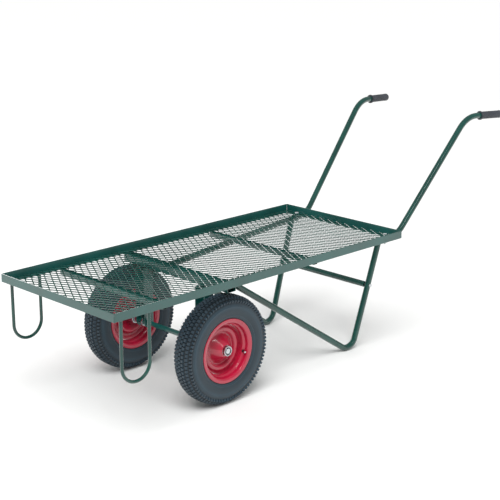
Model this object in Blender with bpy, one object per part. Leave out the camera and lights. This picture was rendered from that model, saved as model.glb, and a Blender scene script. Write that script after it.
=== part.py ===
"""Two-wheeled platform trolley with a mesh deck, bent-tube legs and two lifting handles.

Metres, +Z up, +X towards the handles, -Y is the left side for whoever holds them.
The deck's own frame has x = 0 and y = 0 at the middle of the deck and z = 0 on the ground;
at the end one empty shifts the whole trolley so that its origin is the middle of its footprint.
"""
import math

import bmesh
import bpy
from mathutils import Vector

# ---- driving dimensions: fits ---------------------------------------------------------
GAP = 0.0003              # between pieces that touch
SIDES = (("left", -1), ("right", 1))

# ---- deck frame -----------------------------------------------------------------------
DECK_LENGTH = 1.450
DECK_WIDTH = 0.625
RAIL_HEIGHT = 0.030       # upright leg of the angle iron
RAIL_FOOT = 0.030         # flat leg of the angle iron
RAIL_WALL = 0.003
MESH_THICKNESS = 0.003
MESH_LONG = 0.046         # long way of one real diamond, across the deck
MESH_SHORT = 0.0265       # short way of one real diamond, along the deck
MESH_STRAND = 0.004
MESH_COARSEN = 4          # each opening here stands for 4 x 4 of the real ones
MESH_EDGE = 0.012         # least solid border of the sheet
MESH_CLEARANCE = 0.0015   # sheet to upright leg

# ---- cross members under the deck -----------------------------------------------------
CROSS_WALL = 0.002
CROSS_WIDTH = 0.020       # front and rear members, along X
CROSS_DEPTH = 0.020
CROSS_FRONT_X = -0.483
CROSS_REAR_X = 0.2575
AXLE_CROSS_WIDTH = 0.040
AXLE_CROSS_DEPTH = 0.030
AXLE_CROSS_OFFSET = 0.025 # member's middle behind the axle

# ---- wheels and axle ------------------------------------------------------------------
WHEEL_X = -0.200
WHEEL_RADIUS = 0.200
TYRE_CLEARANCE = 0.038    # top of the tyre to the underside of the rails
TRACK = DECK_WIDTH - 0.121   # between the two tyre centre planes
TYRE_HALF_WIDTH = 0.043
TYRE_WALL = 0.006
RIM_RADIUS = 0.118        # over the flange
RIM_HALF_WIDTH = 0.038
RIM_WALL = 0.0025
BEAD_SEAT_RADIUS = 0.102
WELL_RADIUS = 0.094
WELL_HALF_WIDTH = 0.014
DISC_THICKNESS = 0.0025
DISC_RING = 0.003         # pressed ring outboard of the wheel's middle
DISC_BOWL = 0.009         # bowl inboard of it
DISC_RISE = 0.027         # where the dome meets the hub, outboard of it
HUB_RADIUS = 0.0185
HUB_WALL = 0.0035
HUB_HALF_LENGTH = 0.038
AXLE_RADIUS = 0.010
BEARING_WIDTH = 0.012
BEARING_RECESS = 0.0035
CIRCLIP_THICKNESS = 0.0013
CIRCLIP_FILL = 0.56       # clip's height over the gap between axle and hub bore
CIRCLIP_GROOVE = 0.0006
AXLE_END = 0.0005         # axle end inside the hub end
TUBE_SKIN = 0.002         # inner tube membrane, and its clearance to the tyre
TUBE_SEAM = 0.008         # half width of the opening along the rim side
VALVE_RADIUS = 0.004
VALVE_LENGTH = 0.026
VALVE_CAP_LENGTH = 0.008
VALVE_START = 0.002       # stem's foot beyond the root
VALVE_LEAN = 2.25         # outwards, against one along the spoke
VALVE_ANGLE = math.radians(-17)
VALVE_ROOT = 0.001        # root of the stem above the bead seat
VALVE_OFFSET = 0.003      # and outboard of the wheel's middle

# ---- axle hangers ---------------------------------------------------------------------
HANGER_WALL = 0.004
HANGER_WIDTH = 0.050      # over the two cheeks
HANGER_INNER_Y = TRACK / 2 - 0.112
HANGER_DROP = 0.020       # below the axle centre
HANGER_ROUND_STEPS = 8
SPACER_FILL = 0.64        # spacer's wall over the gap between axle and hub bore
COLLAR_WIDTH = 0.008
COLLAR_WALL = 0.007

# ---- round tube: handles, legs and the bar between them -------------------------------
TUBE_RADIUS = 0.012
TUBE_WALL = 0.002
SPLAY_Y = HANGER_INNER_Y + 0.0285   # half distance of the side frames at the deck's middle
SPLAY_SLOPE = 0.1015      # how much they spread per metre towards the handles
HANDLE_RISE = 0.051       # deck end to where lower run and shaft meet
HANDLE_ANGLE = math.radians(48.8)
HANDLE_HEIGHT = 0.865     # where shaft and grip axes meet
HANDLE_LOWER_BEND = 0.100
HANDLE_UPPER_BEND = 0.120
GRIP_TILT = math.radians(-3.4)
GRIP_START = 0.077        # from where shaft and grip axes meet, along the grip
GRIP_LENGTH = 0.128
GRIP_WALL = 0.0028
GRIP_COLLAR = 0.0035      # height of the flared collar over the sleeve
GRIP_COLLAR_WIDTH = 0.004
GRIP_COLLAR_FOOT = 0.007
GRIP_END = 0.004

# ---- legs -----------------------------------------------------------------------------
LEG_TOP_INSET = 0.0485    # deck end to where the leg's axis meets the handle's
LEG_ANGLE = math.radians(72.6)
STRUT_RUN = 0.56910       # level distance the strut covers from the ground to its top
KNEE_BEND = 0.045
CROSSBAR_HEIGHT = 0.250

# ---- front loops ----------------------------------------------------------------------
LOOP_RADIUS = 0.006
LOOP_FRONT_INSET = 0.035  # deck front face to the first leg's axis
LOOP_SPAN = 0.120
LOOP_BOTTOM = 0.211       # bar axis above the ground
LOOP_SIDE_INSET = 0.0105  # bar axis to the rail's outer face

# ---- fasteners ------------------------------------------------------------------------
BOLT_POINTS = 12          # points round a head or a shank
BOLT_RADIUS = 0.004
BOLT_HOLE = 0.0004        # hole radius over bolt radius
BOLT_HEAD_RADIUS = 0.0085
BOLT_HEAD_HEIGHT = 0.0045
NUT_RADIUS = 0.0075
NUT_HEIGHT = 0.0065
BOLT_TAIL = 0.004         # thread beyond the nut
CROSSBAR_BOLT_REACH = 0.020
PLUG_LENGTH = 0.016

# ---- how finely round shapes are drawn ------------------------------------------------
TUBE_SIDES = 12
BAR_SIDES = 10
WHEEL_STEPS = 28
SMALL_STEPS = 16
BEND_STEP = math.radians(14)

# ---- places that follow from the sizes ------------------------------------------------
DECK_END = DECK_LENGTH / 2
DECK_SIDE = DECK_WIDTH / 2
RAIL_BOTTOM = 2 * WHEEL_RADIUS + TYRE_CLEARANCE
FOOT_TOP = RAIL_BOTTOM + RAIL_WALL
CROSS_TOP = FOOT_TOP
WHEEL_Y = TRACK / 2
AXLE_Z = WHEEL_RADIUS
HANGER_TOP = CROSS_TOP - AXLE_CROSS_DEPTH - GAP
HANGER_REAR = WHEEL_X + HANGER_DROP + HANGER_WALL
HUB_BORE = HUB_RADIUS - HUB_WALL
CIRCLIP_HEIGHT = CIRCLIP_FILL * (HUB_BORE - AXLE_RADIUS)
SPACER_WALL = SPACER_FILL * (HUB_BORE - AXLE_RADIUS)
HANDLE_BOLT_X = DECK_END - RAIL_FOOT / 2


# ---- small helpers --------------------------------------------------------------------
def clear_scene():
    for item in list(bpy.data.objects):
        bpy.data.objects.remove(item, do_unlink=True)


def finish(name, colour, roughness, metallic):
    """A plain Principled finish with the piece's colour."""
    mat = bpy.data.materials.new(name)
    mat.use_nodes = True
    shader = mat.node_tree.nodes["Principled BSDF"]
    shader.inputs["Base Color"].default_value = (*colour, 1.0)
    shader.inputs["Roughness"].default_value = roughness
    shader.inputs["Metallic"].default_value = metallic
    return mat


def empty(name, place, parent=None):
    item = bpy.data.objects.new(name, None)
    bpy.context.collection.objects.link(item)
    item.parent = parent
    item.location = place
    return item


def add_piece(name, bm, mat, parent, place=(0, 0, 0)):
    """Turn a bmesh into a named object with outward faces and smooth rounds."""
    bmesh.ops.remove_doubles(bm, verts=bm.verts, dist=0.00001)
    bmesh.ops.dissolve_degenerate(bm, dist=0.00001, edges=bm.edges)
    bmesh.ops.recalc_face_normals(bm, faces=bm.faces)
    mesh = bpy.data.meshes.new(name)
    bm.to_mesh(mesh)
    bm.free()
    mesh.shade_smooth()
    mesh.set_sharp_from_angle(angle=math.radians(35))
    mesh.materials.append(mat)
    item = bpy.data.objects.new(name, mesh)
    bpy.context.collection.objects.link(item)
    item.parent = parent
    item.location = place
    return item


def cut(item, cutter_bm):
    """Subtract closed cutter shapes, given in the item's own frame, with an exact Boolean."""
    cutter = add_piece(item.name + "_cutter", cutter_bm, item.data.materials[0], item.parent, item.location)
    cutter.hide_render = True
    cutter.display_type = "WIRE"
    modifier = item.modifiers.new("holes", "BOOLEAN")
    modifier.operation = "DIFFERENCE"
    modifier.solver = "EXACT"
    modifier.object = cutter


def extrude_outline(bm, outline, direction):
    """Close an outline of points into a solid by extruding it along a vector."""
    face = bm.faces.new([bm.verts.new(point) for point in outline])
    grown = bmesh.ops.extrude_face_region(bm, geom=[face])["geom"]
    moved = [part for part in grown if isinstance(part, bmesh.types.BMVert)]
    bmesh.ops.translate(bm, verts=moved, vec=direction)


def rod(bm, start, axis, length, radius, steps=SMALL_STEPS):
    """A solid cylinder from a point along an axis."""
    axis = Vector(axis).normalized()
    side = axis.orthogonal().normalized()
    other = axis.cross(side)
    turns = [2 * math.pi * step / steps for step in range(steps)]
    outline = [Vector(start) + radius * (math.cos(t) * side + math.sin(t) * other) for t in turns]
    extrude_outline(bm, outline, axis * length)


def turned(profile, steps, closed=True):
    """Spin (radius, y) points around the Y axis; an open line starts and ends on the axis."""
    bm = bmesh.new()
    verts = [bm.verts.new((radius, y, 0.0)) for radius, y in profile]
    ends = zip(verts, verts[1:] + verts[:1]) if closed else zip(verts, verts[1:])
    edges = [bm.edges.new(pair) for pair in ends]
    bmesh.ops.spin(
        bm, geom=verts + edges, cent=(0, 0, 0), axis=(0, 1, 0), dvec=(0, 0, 0),
        angle=2 * math.pi, steps=steps, use_merge=True, use_duplicate=False,
    )
    return bm


def ring(inner, outer, start, end, steps=SMALL_STEPS):
    """A turned ring between two radii and two places along Y."""
    return turned([(inner, start), (outer, start), (outer, end), (inner, end)], steps)


def mirrored(profile):
    """One half of a profile followed by its mirror image."""
    return profile + [(radius, -y) for radius, y in reversed(profile)]


def rounded_path(points, bend_radius):
    """Places and directions along a polyline whose corners are arcs of one radius each."""
    first = (points[1] - points[0]).normalized()
    path = [(points[0], first)]
    for before, corner, after, radius in zip(points, points[1:], points[2:], bend_radius):
        came = (corner - before).normalized()
        leaves = (after - corner).normalized()
        turn = came.angle(leaves)
        reach = radius * math.tan(turn / 2)
        centre = corner - came * reach + (leaves - came * came.dot(leaves)).normalized() * radius
        spoke = (corner - came * reach) - centre
        count = max(2, math.ceil(turn / BEND_STEP))
        for step in range(count + 1):
            angle = turn * step / count
            place = centre + spoke * math.cos(angle) + came * radius * math.sin(angle)
            heading = came * math.cos(angle) - spoke.normalized() * math.sin(angle)
            path.append((place, heading))
    path.append((points[-1], (points[-1] - points[-2]).normalized()))
    return path


def tube_ring(bm, place, heading, normal, radius, sides, plane=None):
    """One ring of tube points square to its heading, or slid along it onto an end plane."""
    other = heading.cross(normal)
    verts = []
    for step in range(sides):
        turn = 2 * math.pi * step / sides
        point = place + radius * (math.cos(turn) * normal + math.sin(turn) * other)
        if plane:
            point += heading * ((plane[0] - point).dot(plane[1]) / heading.dot(plane[1]))
        verts.append(bm.verts.new(point))
    return verts


def swept(points, bend_radius, radius, wall=None, sides=TUBE_SIDES, planes=(None, None)):
    """A round bar, or a tube with open ends, along a bent path that lies in one plane."""
    path = rounded_path(points, bend_radius)
    normal = (points[1] - points[0]).cross(points[2] - points[1]).normalized()
    cuts = [planes[0]] + [None] * (len(path) - 2) + [planes[1]]
    bm = bmesh.new()
    skins = []
    for skin_radius in [radius] + ([radius - wall] if wall else []):
        skins.append([
            tube_ring(bm, place, heading, normal, skin_radius, sides, plane)
            for (place, heading), plane in zip(path, cuts)
        ])
    for rings in skins:
        for one, two in zip(rings, rings[1:]):
            for step in range(sides):
                after = (step + 1) % sides
                bm.faces.new((one[step], one[after], two[after], two[step]))
    for end in (0, -1):
        if not wall:
            bm.faces.new(skins[0][end])
            continue
        outer, inner = skins[0][end], skins[1][end]
        for step in range(sides):
            after = (step + 1) % sides
            bm.faces.new((outer[step], outer[after], inner[after], inner[step]))
    return bm


def box_tube(width, depth, wall, half_length):
    """A rectangular tube along Y, hung below z = 0, with open ends."""
    bm = bmesh.new()
    loops = []
    for inset, ends in ((0.0, (-1, 1)), (wall, (1, -1))):
        x, top, low = width / 2 - inset, -inset, -depth + inset
        corners = ((-x, top), (x, top), (x, low), (-x, low))
        loops += [[bm.verts.new((cx, end * half_length, cz)) for cx, cz in corners] for end in ends]
    bridge(bm, loops + loops[:1])
    return bm


# ---- where the bent tubes run ---------------------------------------------------------
def side_point(x, z, side):
    """A point on the upright plane that one handle and leg frame share."""
    return Vector((x, side * (SPLAY_Y + SPLAY_SLOPE * x), z))


def lower_run_z(x):
    """Height of the handle tube's axis under the deck: it lies against two members."""
    touch = TUBE_RADIUS + GAP
    rear_x, rear_z = DECK_END, RAIL_BOTTOM - touch
    front_x, front_z = CROSS_REAR_X + CROSS_WIDTH / 2, CROSS_TOP - CROSS_DEPTH - touch
    return rear_z + (x - rear_x) * (rear_z - front_z) / (rear_x - front_x)


def handle_points(side):
    """Axis of one handle: front end, lower corner, upper corner, end inside the grip."""
    low_x = DECK_END + HANDLE_RISE
    low_z = lower_run_z(low_x)
    high_x = low_x + (HANDLE_HEIGHT - low_z) / math.tan(HANDLE_ANGLE)
    front_x = HANGER_REAR + GAP
    corners = ((front_x, lower_run_z(front_x)), (low_x, low_z), (high_x, HANDLE_HEIGHT))
    points = [side_point(x, z, side) for x, z in corners]
    ahead = side_point(high_x + math.cos(GRIP_TILT), HANDLE_HEIGHT + math.sin(GRIP_TILT), side)
    reach = GRIP_START + GRIP_LENGTH - GRIP_END - GAP
    return points + [points[-1] + (ahead - points[-1]).normalized() * reach]


def leg_x(z):
    """Place of the leg's axis at a height."""
    return DECK_END - LEG_TOP_INSET - (lower_run_z(DECK_END) - z) / math.tan(LEG_ANGLE)


def leg_points(side):
    """Axis of one leg frame: leg top, knee corner, strut top."""
    top_z = lower_run_z(leg_x(RAIL_BOTTOM)) - TUBE_RADIUS
    strut_z = lower_run_z(0.0) - TUBE_RADIUS
    strut_angle = math.atan2(strut_z, STRUT_RUN)
    half = (math.pi - LEG_ANGLE - strut_angle) / 2
    lean = LEG_ANGLE + half - math.pi / 2
    corner_z = TUBE_RADIUS + KNEE_BEND - KNEE_BEND / math.sin(half) * math.cos(lean)
    corner_x = leg_x(corner_z)
    strut_x = corner_x - (strut_z - corner_z) / math.tan(strut_angle)
    corners = ((leg_x(top_z), top_z), (corner_x, corner_z), (strut_x, strut_z))
    return [side_point(x, z, side) for x, z in corners]


# ---- the deck -------------------------------------------------------------------------
def mitred_rail(half_length, half_offset, along_x, side):
    """Angle iron with its flat leg inwards at the bottom and both ends mitred."""
    section = (
        (0, 0), (0, RAIL_HEIGHT), (RAIL_WALL, RAIL_HEIGHT),
        (RAIL_WALL, RAIL_WALL), (RAIL_FOOT, RAIL_WALL), (RAIL_FOOT, 0),
    )
    bm = bmesh.new()
    ends = []
    for end in (-1, 1):
        loop = []
        for inward, height in section:
            along = end * (half_length - inward - GAP)
            across = side * (half_offset - inward)
            place = (along, across) if along_x else (across, along)
            loop.append(bm.verts.new((*place, RAIL_BOTTOM + height)))
        bm.faces.new(loop)
        ends.append(loop)
    for step in range(len(section)):
        after = (step + 1) % len(section)
        bm.faces.new((ends[0][step], ends[0][after], ends[1][after], ends[1][step]))
    return bm


def bolt_places():
    """Middle of the rear rail's flat leg over each handle tube."""
    return [side_point(HANDLE_BOLT_X, FOOT_TOP, side) for _, side in SIDES]


def add_rails(paint, parent):
    for name, side in SIDES:
        add_piece(f"rail_{name}", mitred_rail(DECK_END, DECK_SIDE, True, side), paint, parent)
    add_piece("rail_front", mitred_rail(DECK_SIDE, DECK_END, False, -1), paint, parent)
    rear = add_piece("rail_rear", mitred_rail(DECK_SIDE, DECK_END, False, 1), paint, parent)
    holes = bmesh.new()
    for place in bolt_places():
        rod(holes, place - Vector((0, 0, 2 * RAIL_WALL)), (0, 0, 1), 3 * RAIL_WALL, BOLT_RADIUS + BOLT_HOLE)
    cut(rear, holes)


def add_deck_mesh(paint, parent):
    """Expanded sheet with diamond openings, drawn coarser than the real one."""
    half_x = DECK_END - RAIL_WALL - MESH_CLEARANCE
    half_y = DECK_SIDE - RAIL_WALL - MESH_CLEARANCE
    bm = bmesh.new()
    corners = [Vector((sx * half_x, sy * half_y, 0)) for sx, sy in ((-1, -1), (1, -1), (1, 1), (-1, 1))]
    extrude_outline(bm, corners, Vector((0, 0, MESH_THICKNESS)))
    sheet = add_piece("deck_mesh", bm, paint, parent, (0, 0, FOOT_TOP + GAP))
    long_way, short_way = MESH_COARSEN * MESH_LONG, MESH_COARSEN * MESH_SHORT
    solid = MESH_COARSEN * MESH_STRAND / math.sin(math.atan2(short_way, long_way)) / 2
    open_y = long_way / 2 - solid
    open_x = open_y * short_way / long_way
    holes = bmesh.new()
    drop = Vector((0, 0, -MESH_THICKNESS))
    rows = math.floor((half_x - MESH_EDGE - open_x) / (short_way / 2))
    for row in range(-rows, rows + 1):
        x = row * short_way / 2
        shift = (row % 2) * long_way / 2
        count = math.floor((half_y - MESH_EDGE - open_y - shift) / long_way)
        columns = [shift + long_way * step for step in range(-count - (row % 2), count + 1)]
        for y in columns:
            diamond = [Vector((x + dx, y + dy, 0)) + drop
                       for dx, dy in ((-open_x, 0), (0, -open_y), (open_x, 0), (0, open_y))]
            near_bolt = any(abs(x - p.x) < 2 * open_x and abs(y - p.y) < 2 * open_y for p in bolt_places())
            if not near_bolt:
                extrude_outline(holes, diamond, Vector((0, 0, 3 * MESH_THICKNESS)))
    for place in bolt_places():
        start = (place.x, place.y, drop.z)
        rod(holes, start, (0, 0, 1), 3 * MESH_THICKNESS, BOLT_HEAD_RADIUS + MESH_CLEARANCE)
    cut(sheet, holes)


def add_cross_members(paint, parent):
    half = DECK_SIDE - RAIL_FOOT - GAP
    for name, x in (("front", CROSS_FRONT_X), ("rear", CROSS_REAR_X)):
        bm = box_tube(CROSS_WIDTH, CROSS_DEPTH, CROSS_WALL, half)
        add_piece(f"cross_member_{name}", bm, paint, parent, (x, 0, CROSS_TOP))
    bm = box_tube(AXLE_CROSS_WIDTH, AXLE_CROSS_DEPTH, CROSS_WALL, half)
    add_piece("cross_member_axle", bm, paint, parent, (WHEEL_X + AXLE_CROSS_OFFSET, 0, CROSS_TOP))


def add_front_loops(paint, parent):
    for name, side in SIDES:
        front = -DECK_END + LOOP_FRONT_INSET
        y = side * (DECK_SIDE - LOOP_SIDE_INSET)
        top = RAIL_BOTTOM - GAP
        rear = front + LOOP_SPAN
        corners = ((front, top), (front, LOOP_BOTTOM), (rear, LOOP_BOTTOM), (rear, top))
        points = [Vector((x, y, z)) for x, z in corners]
        bend = LOOP_SPAN / 2 - GAP
        bm = swept(points, (bend, bend), LOOP_RADIUS, sides=BAR_SIDES)
        add_piece(f"front_loop_{name}", bm, paint, parent)


# ---- wheels ---------------------------------------------------------------------------
def tyre_profile():
    """Half of a tyre section from the crown's middle to the bead, then back inside it."""
    wide, seat, flange = TYRE_HALF_WIDTH, BEAD_SEAT_RADIUS + GAP, RIM_RADIUS + 2 * GAP
    bead = RIM_HALF_WIDTH - 2 * RIM_WALL
    tall = WHEEL_RADIUS - flange
    outer = [
        (WHEEL_RADIUS, 0.28 * wide), (WHEEL_RADIUS - 0.09 * tall, 0.66 * wide),
        (WHEEL_RADIUS - 0.28 * tall, 0.94 * wide), (flange + 0.4 * tall, wide),
        (flange, 0.9 * wide), (flange, bead), (seat, bead),
    ]
    skin = TYRE_WALL
    toe = WELL_HALF_WIDTH + 2 * RIM_WALL + GAP
    inner = [
        (seat, toe), (seat + skin, toe), (flange + 0.4 * tall, wide - skin),
        (WHEEL_RADIUS - 0.22 * tall, 0.5 * wide),
    ]
    return outer, inner


def add_tyre(name, parent, rubber):
    outer, inner = tyre_profile()
    add_piece(f"tyre_{name}", turned(mirrored(outer + inner), WHEEL_STEPS), rubber, parent)


def add_inner_tube(name, parent, rubber):
    """Thin tube that lines the tyre, left open along its seam on the rim side."""
    _, shoulder, side_wall, crown = tyre_profile()[1]
    middle = Vector(((shoulder[0] + crown[0]) / 2, 0))
    seam = (shoulder[0], TUBE_SEAM)

    def drawn_in(points, amount):
        inward = [middle - Vector(point) for point in points]
        return [tuple(Vector(point) + way.normalized() * amount) for point, way in zip(points, inward)]
    half = [seam, shoulder, side_wall, crown]
    outer = drawn_in(half, TUBE_SKIN)
    inner = drawn_in(half, 2 * TUBE_SKIN)
    around = [(radius, -y) for radius, y in outer]
    back = [(radius, -y) for radius, y in inner]
    profile = outer + around[::-1] + back + inner[::-1]
    add_piece(f"inner_tube_{name}", turned(profile, SMALL_STEPS), rubber, parent)


def add_rim(name, side, parent, paint):
    """Rolled rim with two flanges, bead seats and a drop well."""
    wide, flange, wall = RIM_HALF_WIDTH, RIM_RADIUS, RIM_WALL
    outside = [
        (flange, wide), (flange, wide - wall), (BEAD_SEAT_RADIUS, wide - wall - 2 * GAP),
        (BEAD_SEAT_RADIUS, WELL_HALF_WIDTH + 2 * wall), (WELL_RADIUS, WELL_HALF_WIDTH),
    ]
    inside = [
        (WELL_RADIUS - wall, WELL_HALF_WIDTH - wall / 2),
        (BEAD_SEAT_RADIUS - wall, WELL_HALF_WIDTH + 1.6 * wall),
        (BEAD_SEAT_RADIUS - wall, wide - wall), (BEAD_SEAT_RADIUS, wide),
    ]
    back = [(radius, -y) for radius, y in inside]
    profile = mirrored(outside) + back[::-1] + inside
    rim = add_piece(f"rim_{name}", turned(profile, WHEEL_STEPS), paint, parent)
    holes = bmesh.new()
    root, way = valve_line(side)
    rod(holes, root, way, VALVE_LENGTH, VALVE_RADIUS + BOLT_HOLE)
    cut(rim, holes)


def valve_line(side):
    """Root and direction of the valve stem, from inside the tyre towards the hub."""
    spoke = Vector((math.cos(VALVE_ANGLE), 0, math.sin(VALVE_ANGLE)))
    root = spoke * (BEAD_SEAT_RADIUS + VALVE_ROOT) + Vector((0, side * VALVE_OFFSET, 0))
    way = (-spoke + Vector((0, side * VALVE_LEAN, 0))).normalized()
    return root, way


def add_valve(name, side, parent, rubber, metal):
    root, way = valve_line(side)
    bm = bmesh.new()
    rod(bm, root + way * VALVE_START, way, VALVE_LENGTH, VALVE_RADIUS, BAR_SIDES)
    add_piece(f"valve_stem_{name}", bm, rubber, parent)
    bm = bmesh.new()
    cap_start = root + way * (VALVE_START + VALVE_LENGTH + GAP)
    rod(bm, cap_start, way, VALVE_CAP_LENGTH, VALVE_RADIUS, BAR_SIDES)
    add_piece(f"valve_cap_{name}", bm, metal, parent)


def add_disc(name, side, parent, paint):
    """Pressed centre disc: a raised ring, a bowl inside it and a dome up to the hub."""
    rim_edge = WELL_RADIUS - RIM_WALL - GAP
    hub_edge = HUB_RADIUS + GAP
    span = rim_edge - hub_edge
    line = [
        (rim_edge, -DISC_RING), (rim_edge - 0.19 * span, DISC_RING), (rim_edge - 0.35 * span, DISC_RING),
        (rim_edge - 0.43 * span, -DISC_BOWL), (rim_edge - 0.51 * span, -DISC_BOWL), (hub_edge, DISC_RISE),
    ]
    half = DISC_THICKNESS / 2
    front = [(radius, side * (y + half)) for radius, y in line]
    back = [(radius, side * (y - half)) for radius, y in line]
    add_piece(f"wheel_disc_{name}", turned(front + back[::-1], WHEEL_STEPS), paint, parent)


def add_hub_and_bearings(name, side, parent, zinc, steel):
    bm = ring(HUB_BORE, HUB_RADIUS, -HUB_HALF_LENGTH, HUB_HALF_LENGTH)
    add_piece(f"hub_{name}", bm, zinc, parent)
    for place, way in (("outer", side), ("inner", -side)):
        face = HUB_HALF_LENGTH - BEARING_RECESS
        ends = sorted((way * face, way * (face - BEARING_WIDTH)))
        bm = ring(AXLE_RADIUS + GAP, HUB_BORE - GAP, *ends)
        add_piece(f"bearing_{name}_{place}", bm, steel, parent)


def add_wheel(name, side, looks, root):
    """Everything that turns with one wheel, around an empty on the axle's axis."""
    spin = empty(f"{name}_wheel_axis", (WHEEL_X, side * WHEEL_Y, AXLE_Z), root)
    add_tyre(name, spin, looks["rubber"])
    add_inner_tube(name, spin, looks["rubber"])
    add_rim(name, side, spin, looks["red"])
    add_disc(name, side, spin, looks["red"])
    add_hub_and_bearings(name, side, spin, looks["zinc"], looks["seal"])
    add_valve(name, side, spin, looks["rubber"], looks["zinc"])


# ---- axle and its hangers -------------------------------------------------------------
def circlip_start():
    """Inboard face of a circlip, measured from the middle of the trolley."""
    return WHEEL_Y + HUB_HALF_LENGTH - BEARING_RECESS + GAP


def add_axle(steel, parent):
    end = WHEEL_Y + HUB_HALF_LENGTH - AXLE_END
    groove = circlip_start() - GAP / 2, circlip_start() + CIRCLIP_THICKNESS + GAP / 2
    low = AXLE_RADIUS - CIRCLIP_GROOVE
    half = [
        (0, end), (AXLE_RADIUS - 0.0005, end), (AXLE_RADIUS, end - 0.0005), (AXLE_RADIUS, groove[1]),
        (low, groove[1]), (low, groove[0]), (AXLE_RADIUS, groove[0]),
    ]
    bm = turned(mirrored(half), SMALL_STEPS, closed=False)
    add_piece("axle", bm, steel, parent, (WHEEL_X, 0, AXLE_Z))


def add_axle_small_parts(name, side, looks, parent):
    place = (WHEEL_X, 0, AXLE_Z)

    def fitted(inner, outer, start, length):
        ends = sorted((side * start, side * (start + length)))
        return ring(inner, outer, *ends)
    bore = AXLE_RADIUS + GAP
    start = circlip_start()
    bm = fitted(AXLE_RADIUS - CIRCLIP_GROOVE + GAP, AXLE_RADIUS + CIRCLIP_HEIGHT, start, CIRCLIP_THICKNESS)
    add_piece(f"axle_circlip_{name}", bm, looks["seal"], parent, place)
    first = HANGER_INNER_Y + HANGER_WIDTH + GAP
    last = WHEEL_Y - HUB_HALF_LENGTH + BEARING_RECESS - GAP
    bm = fitted(bore, AXLE_RADIUS + SPACER_WALL, first, last - first)
    add_piece(f"axle_spacer_{name}", bm, looks["zinc"], parent, place)
    middle = HANGER_INNER_Y + HANGER_WIDTH / 2
    bm = fitted(bore, AXLE_RADIUS + COLLAR_WALL, middle - COLLAR_WIDTH / 2, COLLAR_WIDTH)
    add_piece(f"axle_collar_{name}", bm, looks["zinc"], parent, place)


def add_hanger(name, side, paint, parent):
    """Channel that carries the axle: a web against the cross member and two cheeks."""
    turns = [math.pi * (1 + step / HANGER_ROUND_STEPS) for step in range(HANGER_ROUND_STEPS)]
    foot = [(WHEEL_X + HANGER_DROP * math.cos(t), AXLE_Z + HANGER_DROP * math.sin(t)) for t in turns]
    cheek = [(WHEEL_X - HANGER_DROP, HANGER_TOP), *foot, (HANGER_REAR, AXLE_Z), (HANGER_REAR, HANGER_TOP)]
    bm = bmesh.new()
    outline = [Vector((x, side * HANGER_INNER_Y, z)) for x, z in cheek]
    extrude_outline(bm, outline, Vector((0, side * HANGER_WIDTH, 0)))
    hanger = add_piece(f"axle_hanger_{name}", bm, paint, parent)
    holes = bmesh.new()
    room = HANGER_INNER_Y + HANGER_WALL
    web_front = HANGER_REAR - HANGER_WALL
    open_front = WHEEL_X - 2 * HANGER_DROP
    low, high = AXLE_Z - 2 * HANGER_DROP, HANGER_TOP + HANGER_DROP
    corners = ((open_front, low), (web_front, low), (web_front, high), (open_front, high))
    inside = [Vector((x, side * room, z)) for x, z in corners]
    extrude_outline(holes, inside, Vector((0, side * (HANGER_WIDTH - 2 * HANGER_WALL), 0)))
    cut(hanger, holes)
    bore = bmesh.new()
    start = (WHEEL_X, side * (HANGER_INNER_Y - HANGER_WALL), AXLE_Z)
    rod(bore, start, (0, side, 0), HANGER_WIDTH + 2 * HANGER_WALL, AXLE_RADIUS + GAP)
    cut(hanger, bore)


# ---- handles and legs -----------------------------------------------------------------
def bolt_loop(bm, centre, way, radius, hexagonal):
    """Points around an axis, on a circle or on a hexagon of that corner radius."""
    side = way.orthogonal().normalized()
    other = way.cross(side)
    verts = []
    for step in range(BOLT_POINTS):
        turn = 2 * math.pi * step / BOLT_POINTS
        reach = radius * math.cos(math.pi / 6) if hexagonal and step % 2 else radius
        verts.append(bm.verts.new(centre + reach * (math.cos(turn) * side + math.sin(turn) * other)))
    return verts


def bridge(bm, loops):
    """Side faces between each loop and the next."""
    for one, two in zip(loops, loops[1:]):
        for step in range(len(one)):
            after = (step + 1) % len(one)
            bm.faces.new((one[step], one[after], two[after], two[step]))


def hex_bolt(seat, way, shank, head_radius):
    """Hexagon head standing on its seat, and a shank that runs the other way."""
    bm = bmesh.new()
    way = Vector(way)
    loops = [
        bolt_loop(bm, seat - way * BOLT_HEAD_HEIGHT, way, head_radius, True),
        bolt_loop(bm, seat, way, head_radius, True),
        bolt_loop(bm, seat, way, BOLT_RADIUS, False),
        bolt_loop(bm, seat + way * shank, way, BOLT_RADIUS, False),
    ]
    bridge(bm, loops)
    bm.faces.new(loops[0])
    bm.faces.new(loops[-1])
    return bm


def nut(seat, way):
    """Hexagon nut around a bolt, standing on its seat."""
    bm = bmesh.new()
    way = Vector(way)
    near, far = seat, seat + way * NUT_HEIGHT
    outer = [bolt_loop(bm, place, way, NUT_RADIUS, True) for place in (near, far)]
    inner = [bolt_loop(bm, place, way, BOLT_RADIUS + GAP, False) for place in (near, far)]
    bridge(bm, [inner[0], *outer, inner[1], inner[0]])
    return bm


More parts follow.
